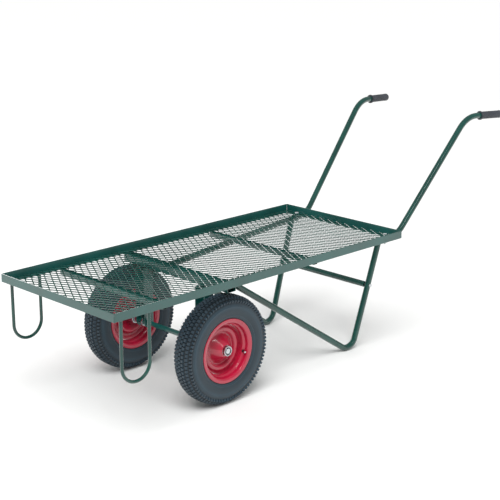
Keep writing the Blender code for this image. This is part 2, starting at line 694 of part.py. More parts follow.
def add_handle(name, side, looks, parent):
    """Bent tube, its rubber grip, and the bolt that holds it to the rear rail."""
    points = handle_points(side)
    web = (points[0], Vector((1, 0, 0)))
    bends = (HANDLE_LOWER_BEND, HANDLE_UPPER_BEND)
    bm = swept(points, bends, TUBE_RADIUS, TUBE_WALL, planes=(web, None))
    tube = add_piece(f"handle_tube_{name}", bm, looks["green"], parent)
    seat = side_point(HANDLE_BOLT_X, FOOT_TOP, side)
    low = lower_run_z(HANDLE_BOLT_X + NUT_RADIUS) - TUBE_RADIUS - GAP
    holes = bmesh.new()
    rod(holes, seat + Vector((0, 0, RAIL_WALL)), (0, 0, -1), 4 * TUBE_RADIUS, BOLT_RADIUS + BOLT_HOLE)
    cut(tube, holes)
    nut_seat = Vector((seat.x, seat.y, low - GAP))
    shank = seat.z + GAP - nut_seat.z + NUT_HEIGHT + BOLT_TAIL
    bm = hex_bolt(seat + Vector((0, 0, GAP)), (0, 0, -1), shank, BOLT_HEAD_RADIUS)
    add_piece(f"handle_bolt_{name}", bm, looks["zinc"], parent)
    add_piece(f"handle_nut_{name}", nut(nut_seat, (0, 0, -1)), looks["zinc"], parent)
    add_grip(name, points, looks["grip"], parent)


def add_grip(name, points, rubber, parent):
    """Sleeve with a flared collar and a closed, slightly swollen end."""
    way = (points[3] - points[2]).normalized()
    start = points[2] + way * GRIP_START
    bore = TUBE_RADIUS + GAP
    body = TUBE_RADIUS + GRIP_WALL
    profile = [
        (bore, 0), (body + GRIP_COLLAR, 0), (body + GRIP_COLLAR, GRIP_COLLAR_WIDTH), (body, GRIP_COLLAR_FOOT),
        (body - 0.0004, GRIP_LENGTH * 0.5), (body, GRIP_LENGTH * 0.86), (body + 0.001, GRIP_LENGTH * 0.93),
        (body, GRIP_LENGTH * 0.985), (body - 0.003, GRIP_LENGTH), (0, GRIP_LENGTH),
    ]
    bottom = [(0, GRIP_LENGTH - GRIP_END), (bore, GRIP_LENGTH - GRIP_END)]
    bm = turned(bottom + profile, SMALL_STEPS, closed=False)
    grip = add_piece(f"handle_grip_{name}", bm, rubber, parent, start)
    grip.rotation_mode = "QUATERNION"
    grip.rotation_quaternion = Vector((0, 1, 0)).rotation_difference(way)


def crossbar_end():
    """Half length of the bar between the legs, and its place along X."""
    x = leg_x(CROSSBAR_HEIGHT)
    lean = math.cos(math.atan(SPLAY_SLOPE))
    return x, side_point(x, 0, 1).y - (TUBE_RADIUS + GAP) / lean


def add_leg_frame(name, side, looks, parent):
    """Leg, knee and strut bent from one tube, cut off under the handle tube."""
    points = leg_points(side)
    handle_front, handle_corner = handle_points(side)[:2]
    along = (handle_corner - handle_front).normalized()
    across = Vector((0, 0, 1)) - along * along.z
    under = points[0].copy()
    under.z = lower_run_z(under.x) - (TUBE_RADIUS + GAP) / math.cos(math.atan2(along.z, 1))
    plane = (under, across.normalized())
    bm = swept(points, (KNEE_BEND,), TUBE_RADIUS, TUBE_WALL, planes=(plane, plane))
    leg = add_piece(f"leg_frame_{name}", bm, looks["green"], parent)
    x, _ = crossbar_end()
    axis = side_point(x, CROSSBAR_HEIGHT, side)
    holes = bmesh.new()
    start = axis - Vector((0, side * 2 * TUBE_RADIUS, 0))
    rod(holes, start, (0, side, 0), 4 * TUBE_RADIUS, BOLT_RADIUS + BOLT_HOLE)
    cut(leg, holes)
    lean = math.cos(math.atan(SPLAY_SLOPE))
    seat = axis + Vector((0, side * (TUBE_RADIUS / lean + GAP), 0))
    bm = hex_bolt(seat, (0, -side, 0), 2 * TUBE_RADIUS + CROSSBAR_BOLT_REACH, NUT_RADIUS)
    add_piece(f"crossbar_bolt_{name}", bm, looks["zinc"], parent)


def add_crossbar(paint, zinc, parent):
    """Tube between the legs, with a threaded plug in each end for its bolt."""
    x, half = crossbar_end()
    place = (x, 0, CROSSBAR_HEIGHT)
    bm = ring(TUBE_RADIUS - TUBE_WALL, TUBE_RADIUS, -half, half, TUBE_SIDES)
    add_piece("leg_crossbar", bm, paint, parent, place)
    plug_radius = (TUBE_RADIUS - TUBE_WALL) * math.cos(math.pi / TUBE_SIDES) - GAP
    for name, side in SIDES:
        ends = sorted((side * half, side * (half - PLUG_LENGTH)))
        bm = ring(BOLT_RADIUS + BOLT_HOLE, plug_radius, *ends, TUBE_SIDES)
        add_piece(f"crossbar_plug_{name}", bm, zinc, parent, place)


# ---- the whole trolley ----------------------------------------------------------------
def centre_on_origin(root):
    """Shift the trolley so that the middle of its bounding box is at x = 0."""
    bpy.context.view_layer.update()
    pieces = [item for item in bpy.data.objects if item.type == "MESH" and not item.hide_render]
    reach = [(item.matrix_world @ vert.co).x for item in pieces for vert in item.data.vertices]
    root.location.x = -(min(reach) + max(reach)) / 2
    bpy.context.view_layer.update()


def main():
    clear_scene()
    root = empty("trolley_origin", (0, 0, 0))
    looks = {
        "green": finish("green paint", (0.06, 0.19, 0.16), 0.45, 0.1),
        "red": finish("red paint", (0.55, 0.02, 0.06), 0.35, 0.0),
        "rubber": finish("black rubber", (0.03, 0.035, 0.045), 0.8, 0.0),
        "grip": finish("grip rubber", (0.04, 0.04, 0.045), 0.7, 0.0),
        "zinc": finish("bright zinc", (0.75, 0.75, 0.75), 0.3, 1.0),
        "seal": finish("bearing seal", (0.02, 0.02, 0.02), 0.6, 0.0),
    }
    add_rails(looks["green"], root)
    add_deck_mesh(looks["green"], root)
    add_cross_members(looks["green"], root)
    add_front_loops(looks["green"], root)
    add_axle(looks["green"], root)
    for name, side in SIDES:
        add_hanger(name, side, looks["green"], root)
        add_axle_small_parts(name, side, looks, root)
        add_wheel(name, side, looks, root)
        add_leg_frame(name, side, looks, root)
        add_handle(name, side, looks, root)
    add_crossbar(looks["green"], looks["zinc"], root)
    centre_on_origin(root)


main()
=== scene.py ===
# %% [markdown]
# # A two-wheeled platform trolley, piece by piece
# The engineering model is loaded first as a fixed frame. It has every piece in its true place,
# but its rounds are coarse and its finishes are plain. Each cell below takes one piece or one
# finish of the real trolley and makes it as it would be made by hand in Blender.

# %% Load the frame
import math

import bmesh
import bpy
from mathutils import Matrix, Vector


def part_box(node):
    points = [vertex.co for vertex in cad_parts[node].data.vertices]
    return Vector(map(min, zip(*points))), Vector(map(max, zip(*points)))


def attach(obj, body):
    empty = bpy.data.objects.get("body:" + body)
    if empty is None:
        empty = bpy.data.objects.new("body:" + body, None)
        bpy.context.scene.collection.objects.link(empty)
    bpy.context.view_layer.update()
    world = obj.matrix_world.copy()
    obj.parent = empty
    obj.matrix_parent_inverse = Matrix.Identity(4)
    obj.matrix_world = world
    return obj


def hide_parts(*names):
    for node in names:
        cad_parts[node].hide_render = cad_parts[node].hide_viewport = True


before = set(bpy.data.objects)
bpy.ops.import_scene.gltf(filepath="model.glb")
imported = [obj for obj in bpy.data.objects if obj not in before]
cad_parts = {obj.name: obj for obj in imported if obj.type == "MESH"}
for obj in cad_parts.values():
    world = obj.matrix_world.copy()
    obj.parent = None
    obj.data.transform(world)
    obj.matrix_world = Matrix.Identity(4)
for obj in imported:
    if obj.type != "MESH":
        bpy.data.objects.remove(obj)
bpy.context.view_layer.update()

MM = 0.001
MERGE = 0.01 * MM
rail_front, rail_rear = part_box("rail_front"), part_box("rail_rear")
DECK_X = (rail_front[0].x + rail_rear[1].x) / 2

# %% [markdown]
# ## Working by hand, in code
# Every operator acts on what is selected, so each piece starts by deselecting everything.
# These small helpers do what a modeller does all day: go in and out of edit mode, select
# by place, apply a modifier, and smooth what is round while keeping sharp corners sharp.


# %% Helpers for selecting and finishing
def deselect():
    bpy.ops.object.select_all(action="DESELECT")


def make_active(piece):
    deselect()
    piece.select_set(True)
    bpy.context.view_layer.objects.active = piece


def named_primitive(name):
    """The primitive just added, with its place moved into its mesh, open in edit mode."""
    piece = bpy.context.object
    piece.name = name
    piece.data.name = name
    bpy.ops.object.transform_apply(location=True, rotation=True, scale=True)
    bpy.ops.object.mode_set(mode="EDIT")
    bpy.ops.mesh.select_all(action="SELECT")
    return piece


def close_edit():
    """Merge doubles, turn the faces outwards and leave edit mode."""
    bpy.ops.mesh.select_all(action="SELECT")
    bpy.ops.mesh.remove_doubles(threshold=MERGE)
    bpy.ops.mesh.normals_make_consistent(inside=False)
    bpy.ops.object.mode_set(mode="OBJECT")


def apply_modifier(piece, kind, **settings):
    make_active(piece)
    modifier = piece.modifiers.new(kind.lower(), kind)
    for key, value in settings.items():
        setattr(modifier, key, value)
    bpy.ops.object.modifier_apply(modifier=modifier.name)


def smooth(piece, angle=35):
    make_active(piece)
    bpy.ops.object.shade_smooth_by_angle(angle=math.radians(angle))


def dress(piece, finish, body="chassis", replaces=()):
    """Give a finished piece its material, its body and the nodes it stands for."""
    piece.data.materials.clear()
    piece.data.materials.append(finish)
    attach(piece, body)
    if replaces:
        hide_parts(*replaces)
    print(piece.name, len(piece.data.polygons), "faces on", body)
    return piece


# %% [markdown]
# ## Materials: one small function adds a node
# Colours are written as the hex values a paint chart gives, and turned to linear light once.


# %% Material helpers
def linear(hex_value):
    channels = [int(hex_value[i:i + 2], 16) / 255 for i in (1, 3, 5)]
    return [c / 12.92 if c <= 0.04045 else ((c + 0.055) / 1.055) ** 2.4 for c in channels] + [1.0]


def new_finish(name, **sockets):
    """A material whose shader sockets are set to constant values."""
    finish = bpy.data.materials.new(name)
    finish.use_nodes = True
    shader = finish.node_tree.nodes["Principled BSDF"]
    for socket, value in sockets.items():
        shader.inputs[socket.replace("_", " ")].default_value = value
    return finish, finish.node_tree, shader


def add_node(tree, kind, links=None, **settings):
    """Add a node. Settings name its properties or input sockets; links feed its inputs."""
    node = tree.nodes.new(kind)
    for key, value in settings.items():
        if hasattr(node, key):
            setattr(node, key, value)
        else:
            node.inputs[key.replace("_", " ")].default_value = value
    for socket, source in (links or {}).items():
        tree.links.new(source, node.inputs[socket])
    return node


def ramp(tree, factor, stops):
    """A colour ramp between hex colours at given places."""
    node = add_node(tree, "ShaderNodeValToRGB", {"Fac": factor})
    elements = node.color_ramp.elements
    while len(elements) < len(stops):
        elements.new(0.5)
    for element, (place, colour) in zip(elements, stops):
        element.position = place
        element.color = linear(colour)
    return node.outputs["Color"]


def bump(tree, shader, height, distance, strength=1.0):
    node = add_node(tree, "ShaderNodeBump", {"Height": height}, Distance=distance, Strength=strength)
    tree.links.new(node.outputs["Normal"], shader.inputs["Normal"])


# %% [markdown]
# ## Green enamel on steel
# The frame is welded from stock steel and sprayed with a gloss alkyd enamel. Sprayed enamel
# levels into a faint orange peel of a few millimetres, is a little thinner and lighter in
# places, and gathers fine grey dust. Its gloss mirrors the floor, which is what makes the
# outer faces of the rails look paler than the inner ones. On round tube and on the sheet's
# thin strands the same paint is given a deeper green than on the flat steel, as painted shade,
# and their lower IOR keeps the room's white from washing that green out.


# %% Green enamel
# noise scales are waves in a metre: clouds of a hand's width, peel of 4 mm, specks of 11 mm,
# which is coarser than real dust so that it shows
CLOUD_SCALE, PEEL_SCALE, SPECK_SCALE = 9.0, 260.0, 90.0
PEEL_DEPTH = 0.06 * MM


def enamel(name, light, deep, roughness, dust, ior=1.5):
    finish, tree, shader = new_finish(name, Metallic=0.0, IOR=ior, Coat_Weight=1.0, Coat_Roughness=0.08)
    place = add_node(tree, "ShaderNodeTexCoord").outputs["Object"]
    cloud = add_node(tree, "ShaderNodeTexNoise", {"Vector": place}, Scale=CLOUD_SCALE, Detail=4.0)
    peel = add_node(tree, "ShaderNodeTexNoise", {"Vector": place}, Scale=PEEL_SCALE, Detail=2.0)
    specks = add_node(tree, "ShaderNodeTexNoise", {"Vector": place},
                      Scale=SPECK_SCALE, Detail=6.0, Roughness=0.75)
    colour = ramp(tree, cloud.outputs["Fac"], [(0.35, deep), (0.65, light)])
    worn = add_node(tree, "ShaderNodeMapRange", {"Value": specks.outputs["Fac"]},
                    From_Min=0.62, From_Max=0.78)
    # a colour Mix node keeps its colour sockets after its number and vector ones
    dusty = add_node(tree, "ShaderNodeMix", {0: worn.outputs["Result"], 6: colour}, data_type="RGBA")
    dusty.inputs[7].default_value = linear(dust)
    tree.links.new(dusty.outputs[2], shader.inputs["Base Color"])
    rough = add_node(tree, "ShaderNodeMapRange", {"Value": cloud.outputs["Fac"]},
                     To_Min=roughness - 0.06, To_Max=roughness + 0.08)
    tree.links.new(rough.outputs["Result"], shader.inputs["Roughness"])
    bump(tree, shader, peel.outputs["Fac"], PEEL_DEPTH, 0.5)
    return finish


green_enamel = enamel("green_enamel", "#115550", "#0d4944", 0.32, "#3b726c")
# a darker copy of the same green for the tubes and the deck's strands: painted shade, not another paint
painted_shade_tube_enamel = enamel("green_enamel_with_painted_shade", "#05483f", "#043a33", 0.26, "#15605a", ior=1.36)
red_enamel = enamel("crimson_enamel", "#b8143a", "#a80f32", 0.28, "#c9506a")
print("enamels", green_enamel.name, painted_shade_tube_enamel.name, red_enamel.name)

# %% [markdown]
# ## Tyre rubber, grip rubber, zinc and the bearing's seal
# Vulcanised rubber filled with carbon black is matt and slightly blue where dust has bloomed
# on it. Zinc plate is bright but softly clouded. On bolts that stand in the rain it grows a
# chalky white bloom, which scatters light instead of mirroring the dark rail beside it. The
# bearing's seal is dark nitrile rubber.


# %% Rubber, zinc and seal
# waves in a metre again: dust blooms in patches of 70 mm, and zinc is clouded every 6 mm
BLOOM_SCALE, SPANGLE_SCALE = 14.0, 180.0
SKIN_DEPTH, SPANGLE_DEPTH = 0.12 * MM, 0.03 * MM


def rubber(name, light, deep, roughness, grain, sheen=0.0):
    finish, tree, shader = new_finish(name, Metallic=0.0, IOR=1.52, Sheen_Weight=sheen)
    place = add_node(tree, "ShaderNodeTexCoord").outputs["Object"]
    bloom = add_node(tree, "ShaderNodeTexNoise", {"Vector": place},
                     Scale=BLOOM_SCALE, Detail=5.0, Roughness=0.6)
    skin = add_node(tree, "ShaderNodeTexNoise", {"Vector": place}, Scale=grain, Detail=3.0)
    colour = ramp(tree, bloom.outputs["Fac"], [(0.3, deep), (0.7, light)])
    tree.links.new(colour, shader.inputs["Base Color"])
    rough = add_node(tree, "ShaderNodeMapRange", {"Value": bloom.outputs["Fac"]},
                     To_Min=roughness - 0.08, To_Max=roughness + 0.08)
    tree.links.new(rough.outputs["Result"], shader.inputs["Roughness"])
    bump(tree, shader, skin.outputs["Fac"], SKIN_DEPTH, 0.6)
    return finish


def plated(name, light, deep, roughness, bloom=0.0):
    finish, tree, shader = new_finish(name, Metallic=1.0 - bloom)
    place = add_node(tree, "ShaderNodeTexCoord").outputs["Object"]
    spangle = add_node(tree, "ShaderNodeTexNoise", {"Vector": place}, Scale=SPANGLE_SCALE, Detail=4.0)
    colour = ramp(tree, spangle.outputs["Fac"], [(0.35, deep), (0.65, light)])
    tree.links.new(colour, shader.inputs["Base Color"])
    rough = add_node(tree, "ShaderNodeMapRange", {"Value": spangle.outputs["Fac"]},
                     To_Min=roughness - 0.07, To_Max=roughness + 0.1)
    tree.links.new(rough.outputs["Result"], shader.inputs["Roughness"])
    bump(tree, shader, spangle.outputs["Fac"], SPANGLE_DEPTH, 0.4)
    return finish


tyre_rubber = rubber("vulcanised_tyre_rubber", "#2c404c", "#22333f", 0.55, 420.0, 0.1)
tube_rubber = rubber("butyl_rubber", "#26282b", "#1d1f22", 0.5, 300.0)
grip_rubber = rubber("moulded_grip_rubber", "#43474e", "#34373d", 0.6, 500.0, 0.1)
zinc = plated("bright_zinc_plate", "#dfe2e4", "#b9bdc2", 0.26)
bolt_zinc = plated("white_bloomed_zinc_plate", "#e9ebec", "#cfd3d6", 0.42, bloom=0.65)
spring_steel = plated("phosphated_spring_steel", "#4a4c50", "#35373a", 0.45)
seal_rubber = rubber("nitrile_bearing_seal", "#1c1d1f", "#131415", 0.55, 600.0)
print("finishes", len(bpy.data.materials))

# %% [markdown]
# ## Angle iron, square tube and folded channel
# The deck's frame is rolled angle iron mitred at its corners, the members under it are square
# tube, and the hangers are folded from plate. Their flat shapes are right in the frame, so
# each is copied, its triangles are merged back into flat faces, and its edges get the small
# radius that rolling and folding leave. A bare knife edge would catch no light at all.


# %% Soften the edges of the flat steel
def softened(node, name, width):
    """A copy of a node's piece with its edges rounded to a radius."""
    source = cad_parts[node]
    piece = source.copy()
    piece.data = source.data.copy()
    piece.parent = None
    piece.name = name
    for key in [key for key in piece.keys() if key.startswith("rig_")]:
        del piece[key]
    bpy.context.scene.collection.objects.link(piece)
    make_active(piece)
    bpy.ops.object.mode_set(mode="EDIT")
    bpy.ops.mesh.select_all(action="SELECT")
    bpy.ops.mesh.remove_doubles(threshold=MERGE)
    bpy.ops.mesh.dissolve_limited(angle_limit=math.radians(1.0))
    bpy.ops.object.mode_set(mode="OBJECT")
    apply_modifier(piece, "BEVEL", width=width, segments=2, limit_method="ANGLE",
                   angle_limit=math.radians(40), use_clamp_overlap=True)
    smooth(piece, 30)
    return piece


# the edge radius of each piece, in millimetres
FLAT_STEEL = {
    "rail_left": 0.8, "rail_right": 0.8, "rail_front": 0.8, "rail_rear": 0.8,
    "cross_member_front": 1.2, "cross_member_axle": 1.6, "cross_member_rear": 1.2,
    "axle_hanger_left": 0.9, "axle_hanger_right": 0.9,
}
for node, radius in FLAT_STEEL.items():
    dress(softened(node, f"{node}_painted", radius * MM), green_enamel, "chassis", [node])

# %% [markdown]
# ## The expanded-metal deck
# Expanded metal is one sheet, slit in staggered rows and stretched, so that every strand is a
# ribbon standing on its slant and no metal is lost. Nothing is woven. So one slanted ribbon is
# extruded in a zigzag across the deck, given its thickness, and repeated row by row with half
# a step between neighbours, as the press does it. Two rows meet at each knuckle.

# %% Expanded metal
DIAMOND_LONG = 46 * MM      # across the deck
DIAMOND_SHORT = 26.6 * MM   # along the deck
STRAND_WIDTH = 4.4 * MM
STRAND_THICKNESS = 2.5 * MM
STRAND_SLANT = math.radians(38)


def expanded_metal(name, low, high):
    """Fill a rectangle between two corners with expanded metal."""
    width = STRAND_WIDTH * math.cos(STRAND_SLANT)
    height = STRAND_WIDTH * math.sin(STRAND_SLANT)
    rows = math.ceil((high.x - low.x) / DIAMOND_SHORT) + 2
    legs = 2 * (math.ceil((high.y - low.y) / DIAMOND_LONG) + 2)
    start_x, start_y = low.x - DIAMOND_SHORT, low.y - DIAMOND_LONG
    deselect()
    bpy.ops.mesh.primitive_plane_add(size=1)
    piece = named_primitive(name)
    bpy.ops.mesh.merge(type="CENTER")
    bpy.ops.transform.translate(value=(start_x, start_y, low.z))
    bpy.ops.mesh.extrude_vertices_move(TRANSFORM_OT_translate={"value": (-width, 0, height)})
    bpy.ops.mesh.select_all(action="SELECT")
    for leg in range(legs):
        way = 1 if leg % 2 == 0 else -1
        step = (way * DIAMOND_SHORT / 2, DIAMOND_LONG / 2, 0)
        bpy.ops.mesh.extrude_edges_move(TRANSFORM_OT_translate={"value": step})
    bpy.ops.mesh.select_all(action="SELECT")
    bpy.ops.object.mode_set(mode="OBJECT")
    apply_modifier(piece, "SOLIDIFY", thickness=STRAND_THICKNESS, offset=0.0)
    apply_modifier(piece, "ARRAY", count=2, use_relative_offset=False, use_constant_offset=True,
                   constant_offset_displace=(DIAMOND_SHORT / 2, DIAMOND_LONG / 2, 0))
    apply_modifier(piece, "ARRAY", count=rows, use_relative_offset=False, use_constant_offset=True,
                   constant_offset_displace=(DIAMOND_SHORT, 0, 0))
    make_active(piece)
    bpy.ops.object.mode_set(mode="EDIT")
    for place, normal in ((low, (-1, 0, 0)), (high, (1, 0, 0)), (low, (0, -1, 0)), (high, (0, 1, 0))):
        bpy.ops.mesh.select_all(action="SELECT")
        bpy.ops.mesh.bisect(plane_co=place, plane_no=normal, clear_outer=True, use_fill=True)
    bpy.ops.mesh.select_all(action="SELECT")
    bpy.ops.mesh.normals_make_consistent(inside=False)
    bpy.ops.object.mode_set(mode="OBJECT")
    smooth(piece, 25)
    return piece


sheet_low, sheet_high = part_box("deck_mesh")
deck_sheet = expanded_metal("deck_expanded_metal", sheet_low, sheet_high)
dress(deck_sheet, painted_shade_tube_enamel, "chassis", ["deck_mesh"])

# %% [markdown]
# ## Bent tube and bar
# The handles and legs are round tube bent on a former, and the front loops are solid bar. On
# the bench the tube goes straight, round the former, and straight again, and the mesh is made
# the same way: a circle stands square to the first straight, is extruded along it, spun round
# each bend's centre, and extruded again. A Solidify modifier then gives the tube its wall.

# %% Tube bender
TUBE_RADIUS = 12 * MM
TUBE_WALL = 2 * MM
FORMER_STEP = math.radians(6)


def bent_tube(name, corners, bends, radius, wall=None, sides=28):
    """A tube along straight lines between corners, with one bend radius at each inner corner."""
    heading = (corners[1] - corners[0]).normalized()
    stand = Vector((0, 0, 1)).rotation_difference(heading).to_euler()
    deselect()
    bpy.ops.mesh.primitive_circle_add(vertices=sides, radius=radius, location=corners[0], rotation=stand)
    piece = named_primitive(name)
    place = corners[0]
    for corner, after, bend in zip(corners[1:], corners[2:], bends):
        came, leaves = (corner - place).normalized(), (after - corner).normalized()
        turn = came.angle(leaves)
        reach = bend * math.tan(turn / 2)
        bpy.ops.mesh.extrude_region_move(
            TRANSFORM_OT_translate={"value": corner - came * reach - place})
        axis = came.cross(leaves).normalized()
        centre = corner - came * reach + axis.cross(came) * bend
        # with no window Spin turns clockwise about its axis, so the axis points the other way
        bpy.ops.mesh.spin(steps=math.ceil(turn / FORMER_STEP), angle=turn, center=centre, axis=-axis)
        place = corner + leaves * reach
    bpy.ops.mesh.extrude_region_move(TRANSFORM_OT_translate={"value": corners[-1] - place})
    if wall is None:
        bpy.ops.mesh.select_all(action="SELECT")
        bpy.ops.mesh.fill_holes(sides=0)
    close_edit()
    if wall:
        apply_modifier(piece, "SOLIDIFY", thickness=wall, offset=-1.0)
    smooth(piece, 40)
    print(name, "is", [round(size, 3) for size in piece.dimensions], "m")
    return piece


# %% [markdown]
# ## Where the side frames run
# Each handle and the leg under it lie in one upright plane, and the two planes open towards
# the handles. So one function turns a place along the deck and a height into a point.

# %% Side frames: their common plane
SPLAY_Y, SPLAY_SLOPE = 168.5 * MM, 0.1015
SIDES = (("left", -1), ("right", 1))
member_rear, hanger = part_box("cross_member_rear"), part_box("axle_hanger_left")
RAIL_BOTTOM = rail_rear[0].z
GAP = 0.3 * MM


def side_point(x, z, side):
    """x is measured from the middle of the deck."""
    return Vector((DECK_X + x, side * (SPLAY_Y + SPLAY_SLOPE * x), z))


def run_z(x):
    """Axis height of the handle under the deck, where it lies against two members."""
    touch = TUBE_RADIUS + GAP
    rear = Vector((rail_rear[1].x - DECK_X, RAIL_BOTTOM - touch))
    front = Vector((member_rear[1].x - DECK_X, member_rear[0].z - touch))
    return rear.y + (x - rear.x) * (rear.y - front.y) / (rear.x - front.x)


HANDLE_RISE = 51 * MM       # from the deck's end to where the shaft starts to rise
HANDLE_LOW_X = rail_rear[1].x - DECK_X + HANDLE_RISE
HANDLE_ANGLE = math.radians(48.8)
HANDLE_HEIGHT = 865 * MM
HANDLE_BENDS = (100 * MM, 120 * MM)
GRIP_TILT = math.radians(-3.4)


def handle_corners(side):
    front_x = hanger[1].x - DECK_X + GAP
    high_x = HANDLE_LOW_X + (HANDLE_HEIGHT - run_z(HANDLE_LOW_X)) / math.tan(HANDLE_ANGLE)
    points = [side_point(x, z, side) for x, z in (
        (front_x, run_z(front_x)), (HANDLE_LOW_X, run_z(HANDLE_LOW_X)), (high_x, HANDLE_HEIGHT))]
    ahead = side_point(high_x + math.cos(GRIP_TILT), HANDLE_HEIGHT + math.sin(GRIP_TILT), side)
    return points, (ahead - points[-1]).normalized()


GRIP_START, GRIP_LENGTH, GRIP_END = 77 * MM, 128 * MM, 4 * MM
for name, side in SIDES:
    points, grip_way = handle_corners(side)
    end = points[-1] + grip_way * (GRIP_START + GRIP_LENGTH - GRIP_END - GAP)
    tube = bent_tube(f"handle_{name}", points + [end], HANDLE_BENDS, TUBE_RADIUS, TUBE_WALL)
    dress(tube, painted_shade_tube_enamel, "chassis", [f"handle_tube_{name}"])

# %% [markdown]
# ## Legs
# Leg and strut are one tube with a tight knee that rests on the ground. Both ends are coped:
# the fitter grinds each end to a saddle that fits round the underside of the handle tube. A
# Boolean could cut the saddle, but sliding each end point along the tube until it meets the
# handle's round surface gives the same curve and leaves clean faces.

# %% Leg frames
LEG_ANGLE, STRUT_RUN = math.radians(72.6), 569.1 * MM
LEG_TOP_INSET, KNEE_BEND = 48.5 * MM, 45 * MM
OVERLONG = 30 * MM          # the uncoped ends stand this much above the handle's axis
OVERLONG_X = 600 * MM       # as it is this far behind the deck's middle


def leg_x(z):
    end = rail_rear[1].x - DECK_X
    return end - LEG_TOP_INSET - (run_z(end) - z) / math.tan(LEG_ANGLE)


def leg_corners(side):
    """Overlong leg top, knee corner and overlong strut top."""
    strut_angle = math.atan2(run_z(0.0) - TUBE_RADIUS, STRUT_RUN)
    half = (math.pi - LEG_ANGLE - strut_angle) / 2
    lean = LEG_ANGLE + half - math.pi / 2
    knee_z = TUBE_RADIUS + KNEE_BEND - KNEE_BEND / math.sin(half) * math.cos(lean)
    knee_x = leg_x(knee_z)
    top_z = run_z(OVERLONG_X) + OVERLONG
    strut_x = knee_x - (top_z - knee_z) / math.tan(strut_angle)
    return [side_point(x, z, side) for x, z in ((leg_x(top_z), top_z), (knee_x, knee_z), (strut_x, top_z))]


def slid_to_handle(point, heading, side, radius):
    """Where a line along a heading first comes within a radius of the handle's axis."""
    front, corner = handle_corners(side)[0][:2]
    along = (corner - front).normalized()
    off = point - front
    off -= along * off.dot(along)
    way = heading - along * heading.dot(along)
    nearest = -off.dot(way) / way.length_squared
    spare = max(0.0, radius ** 2 - (off + way * nearest).length_squared)
    return point + heading * (nearest - math.sqrt(spare) / way.length)


for name, side in SIDES:
    leg = bent_tube(f"leg_{name}", leg_corners(side), (KNEE_BEND,), TUBE_RADIUS, TUBE_WALL)
    leg_top, knee, strut_top = leg_corners(side)
    make_active(leg)
    bpy.ops.object.mode_set(mode="EDIT")
    mesh = bmesh.from_edit_mesh(leg.data)
    for end in (leg_top, strut_top):
        heading = (end - knee).normalized()
        for vert in mesh.verts:
            if (vert.co - end).dot(heading) > -0.1 * MM:
                vert.co = slid_to_handle(vert.co, heading, side, TUBE_RADIUS + GAP)
    bmesh.update_edit_mesh(leg.data)
    bpy.ops.object.mode_set(mode="OBJECT")
    dress(leg, painted_shade_tube_enamel, "chassis", [f"leg_frame_{name}"])

# %% [markdown]
# ## Crossbar and front loops
# A straight tube keeps the legs apart, and two loops of solid bar hang under the front corners.

# %% Crossbar and front loops
bar_low, bar_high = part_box("leg_crossbar")
bar_middle = (bar_low + bar_high) / 2
bar_ends = [Vector((bar_middle.x, y, bar_middle.z)) for y in (bar_low.y, bar_high.y)]
crossbar = bent_tube("crossbar", bar_ends, (), TUBE_RADIUS, TUBE_WALL)
dress(crossbar, painted_shade_tube_enamel, "chassis", ["leg_crossbar"])

LOOP_RADIUS = 6 * MM
for name, _ in SIDES:
    low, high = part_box(f"front_loop_{name}")
    y = (low.y + high.y) / 2
    front, rear, floor_z = low.x + LOOP_RADIUS, high.x - LOOP_RADIUS, low.z + LOOP_RADIUS
    corners = [Vector((x, y, z)) for x, z in (
        (front, high.z), (front, floor_z), (rear, floor_z), (rear, high.z))]
    loop = bent_tube(f"loop_{name}", corners, [(rear - front) / 2 - GAP] * 2, LOOP_RADIUS, sides=20)
    dress(loop, painted_shade_tube_enamel, "chassis", [f"front_loop_{name}"])

# %% [markdown]
# ## Turning on the lathe
# Tyre, rim, hub, axle and grips are all round about one line. One vertex is extruded into the
# half section, and the section is spun about the axis: it is what a lathe does, turned round.


# %% Lathe
def eased(profile, rounds=2):
    """Cut the corners of a profile, so that pressed and moulded bends come out round."""
    for _ in range(rounds):
        cut = [profile[0]]
        for (r0, y0), (r1, y1) in zip(profile, profile[1:]):
            cut.append((0.75 * r0 + 0.25 * r1, 0.75 * y0 + 0.25 * y1))
            cut.append((0.25 * r0 + 0.75 * r1, 0.25 * y0 + 0.75 * y1))
        profile = cut + [profile[-1]]
    return profile


def lathe(name, profile, middle, way=(0, 1, 0), steps=72, wall=None, angle=35):
    """Spin (radius, along) points, in millimetres, about a line through middle."""
    way = Vector(way).normalized()
    out = way.orthogonal().normalized() if abs(way.y) < 0.999 else Vector((0, 0, -1))
    points = [middle + out * radius * MM + way * along * MM for radius, along in profile]
    deselect()
    bpy.ops.mesh.primitive_plane_add(size=MM, location=points[0])
    piece = named_primitive(name)
    bpy.ops.mesh.merge(type="CENTER")
    for before, after in zip(points, points[1:]):
        bpy.ops.mesh.extrude_vertices_move(TRANSFORM_OT_translate={"value": after - before})
    bpy.ops.mesh.select_all(action="SELECT")
    bpy.ops.mesh.spin(steps=steps, angle=2 * math.pi, center=middle, axis=way)
    close_edit()
    if wall:
        apply_modifier(piece, "SOLIDIFY", thickness=wall, offset=0.0)
    smooth(piece, angle)
    return piece


def mirrored(half):
    """A half section that ends at the middle plane, followed by its mirror image."""
    return half + [(radius, -along) for radius, along in reversed(half)]


WHEEL_MIDDLE = {}
for name, _ in SIDES:
    low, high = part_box(f"tyre_{name}")
    WHEEL_MIDDLE[name] = (low + high) / 2
print("wheel middles", WHEEL_MIDDLE)

# %% [markdown]
# ## Tyre carcass
# The carcass is moulded: a rounded crown, smooth side walls with a fine moulded line, and a
# bead that grips the rim. The section is drawn from the crown to the bead and back inside.

